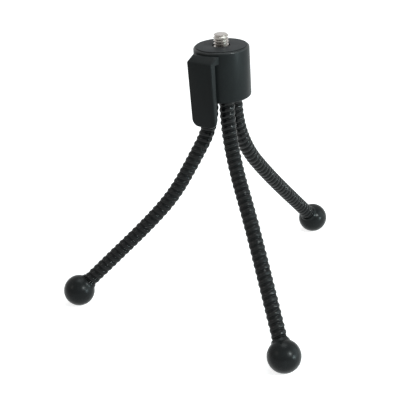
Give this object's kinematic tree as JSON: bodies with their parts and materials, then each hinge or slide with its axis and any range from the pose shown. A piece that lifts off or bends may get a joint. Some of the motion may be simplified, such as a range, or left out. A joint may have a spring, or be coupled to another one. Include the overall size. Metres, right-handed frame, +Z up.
{
  "type": "tabletop tripod",
  "caption": "Pocket tripod with a camera screw and rubber pad on a short round hub, a side pocket clip, and bendable wound legs that end in rubber balls.",
  "frame": {"origin": "middle of the grip pad's top face, on the camera screw's axis, where a camera's base sits", "axes": "+Z up along the camera screw; +X to the right and +Y away in the picture's view; the ground is at z = -0.115 m"},
  "size_m": [0.1254, 0.1412, 0.1198],
  "materials": {
    "hub_plastic": "satin moulded black plastic",
    "block_plastic": "matt moulded black plastic",
    "pad_rubber": "matt rubber",
    "screw_steel": "bright nickel-plated steel thread",
    "leg_winding": "semi-gloss black coated wire winding",
    "core_steel": "drawn steel wire",
    "ferrule_brass": "turned brass",
    "fastener_steel": "zinc-plated steel",
    "foot_rubber": "matt rubber"
  },
  "bodies": {
    "hub": {"hub_shell": "hub_plastic", "grip_pad": "pad_rubber", "camera_stud": "screw_steel", "leg_socket_block": "block_plastic", "block_washer": "fastener_steel", "block_bolt": "fastener_steel", "left_winding_0": "leg_winding", "left_core_0": "core_steel", "left_ferrule": "ferrule_brass", "front_winding_0": "leg_winding", "front_core_0": "core_steel", "front_ferrule": "ferrule_brass", "back_winding_0": "leg_winding", "back_core_0": "core_steel", "back_ferrule": "ferrule_brass"},
    "clip": {"pocket_clip": "hub_plastic"},
    "left_link_1": {"left_winding_1": "leg_winding", "left_core_1": "core_steel"},
    "left_link_2": {"left_winding_2": "leg_winding", "left_core_2": "core_steel"},
    "left_link_3": {"left_winding_3": "leg_winding", "left_core_3": "core_steel"},
    "left_link_4": {"left_winding_4": "leg_winding", "left_core_4": "core_steel"},
    "left_link_5": {"left_winding_5": "leg_winding", "left_core_5": "core_steel"},
    "left_link_6": {"left_winding_6": "leg_winding", "left_core_6": "core_steel", "left_foot_ball": "foot_rubber", "left_foot_insert": "ferrule_brass"},
    "front_link_1": {"front_winding_1": "leg_winding", "front_core_1": "core_steel"},
    "front_link_2": {"front_winding_2": "leg_winding", "front_core_2": "core_steel"},
    "front_link_3": {"front_winding_3": "leg_winding", "front_core_3": "core_steel"},
    "front_link_4": {"front_winding_4": "leg_winding", "front_core_4": "core_steel"},
    "front_link_5": {"front_winding_5": "leg_winding", "front_core_5": "core_steel"},
    "front_link_6": {"front_winding_6": "leg_winding", "front_core_6": "core_steel", "front_foot_ball": "foot_rubber", "front_foot_insert": "ferrule_brass"},
    "back_link_1": {"back_winding_1": "leg_winding", "back_core_1": "core_steel"},
    "back_link_2": {"back_winding_2": "leg_winding", "back_core_2": "core_steel"},
    "back_link_3": {"back_winding_3": "leg_winding", "back_core_3": "core_steel"},
    "back_link_4": {"back_winding_4": "leg_winding", "back_core_4": "core_steel"},
    "back_link_5": {"back_winding_5": "leg_winding", "back_core_5": "core_steel"},
    "back_link_6": {"back_winding_6": "leg_winding", "back_core_6": "core_steel", "back_foot_ball": "foot_rubber", "back_foot_insert": "ferrule_brass"}
  },
  "joints": [
    {"name": "left_spread_1", "type": "hinge", "parent": "hub", "child": "left_link_1", "pos_m": [-0.00573, 0.00209, -0.026], "axis": [-0.1305, 0.9914, 0], "range_deg": [-16, 30]},
    {"name": "left_sweep_2", "type": "hinge", "parent": "left_link_1", "child": "left_link_2", "pos_m": [-0.0103, 0.00148, -0.04319], "axis": [-0.8586, -0.113, 0.5], "range_deg": [-25, 25]},
    {"name": "left_spread_3", "type": "hinge", "parent": "left_link_2", "child": "left_link_3", "pos_m": [-0.01949, 0.00028, -0.05862], "axis": [-0.1305, 0.9914, 0], "range_deg": [-16, 30]},
    {"name": "left_sweep_4", "type": "hinge", "parent": "left_link_3", "child": "left_link_4", "pos_m": [-0.03058, -0.00118, -0.07267], "axis": [-0.7011, -0.0923, 0.7071], "range_deg": [-25, 25]},
    {"name": "left_spread_5", "type": "hinge", "parent": "left_link_4", "child": "left_link_5", "pos_m": [-0.04364, -0.0029, -0.08493], "axis": [-0.1305, 0.9914, 0], "range_deg": [-16, 30]},
    {"name": "left_sweep_6", "type": "hinge", "parent": "left_link_5", "child": "left_link_6", "pos_m": [-0.05713, -0.00468, -0.09672], "axis": [-0.649, -0.0854, 0.756], "range_deg": [-25, 25]},
    {"name": "front_spread_1", "type": "hinge", "parent": "hub", "child": "front_link_1", "pos_m": [0.00106, -0.00601, -0.026], "axis": [-0.9659, -0.2588, 0], "range_deg": [-16, 30]},
    {"name": "front_sweep_2", "type": "hinge", "parent": "front_link_1", "child": "front_link_2", "pos_m": [0.00233, -0.01074, -0.04308], "axis": [0.2195, -0.8192, 0.5299], "range_deg": [-25, 25]},
    {"name": "front_spread_3", "type": "hinge", "parent": "front_link_2", "child": "front_link_3", "pos_m": [0.00537, -0.0221, -0.05661], "axis": [-0.9659, -0.2588, 0], "range_deg": [-16, 30]},
    {"name": "front_sweep_4", "type": "hinge", "parent": "front_link_3", "child": "front_link_4", "pos_m": [0.00879, -0.03486, -0.06882], "axis": [0.1846, -0.6889, 0.7009], "range_deg": [-25, 25]},
    {"name": "front_spread_5", "type": "hinge", "parent": "front_link_4", "child": "front_link_5", "pos_m": [0.01199, -0.04681, -0.08189], "axis": [-0.9659, -0.2588, 0], "range_deg": [-16, 30]},
    {"name": "front_sweep_6", "type": "hinge", "parent": "front_link_5", "child": "front_link_6", "pos_m": [0.01513, -0.05852, -0.0952], "axis": [0.1913, -0.7139, 0.6736], "range_deg": [-25, 25]},
    {"name": "back_spread_1", "type": "hinge", "parent": "hub", "child": "back_link_1", "pos_m": [0.00467, 0.00392, -0.026], "axis": [0.8241, -0.5664, 0], "range_deg": [-16, 30]},
    {"name": "back_sweep_2", "type": "hinge", "parent": "back_link_1", "child": "back_link_2", "pos_m": [0.00695, 0.00723, -0.04339], "axis": [0.5091, 0.7407, 0.4384], "range_deg": [-25, 25]},
    {"name": "back_spread_3", "type": "hinge", "parent": "back_link_2", "child": "back_link_3", "pos_m": [0.01266, 0.01555, -0.05822], "axis": [0.8241, -0.5664, 0], "range_deg": [-16, 30]},
    {"name": "back_sweep_4", "type": "hinge", "parent": "back_link_3", "child": "back_link_4", "pos_m": [0.01971, 0.02581, -0.07122], "axis": [0.4005, 0.5827, 0.7071], "range_deg": [-25, 25]},
    {"name": "back_spread_5", "type": "hinge", "parent": "back_link_4", "child": "back_link_5", "pos_m": [0.02702, 0.03644, -0.08377], "axis": [0.8241, -0.5664, 0], "range_deg": [-16, 30]},
    {"name": "back_sweep_6", "type": "hinge", "parent": "back_link_5", "child": "back_link_6", "pos_m": [0.03443, 0.04722, -0.09613], "axis": [0.3892, 0.5662, 0.7266], "range_deg": [-25, 25]},
    {"name": "clip_flex", "type": "hinge", "parent": "hub", "child": "clip", "pos_m": [-0.00695, -0.00953, -0.0016], "axis": [-0.808, 0.5892, 0], "range_deg": [0, 6], "stiffness_Nm_per_rad": 1.5}
  ]
}
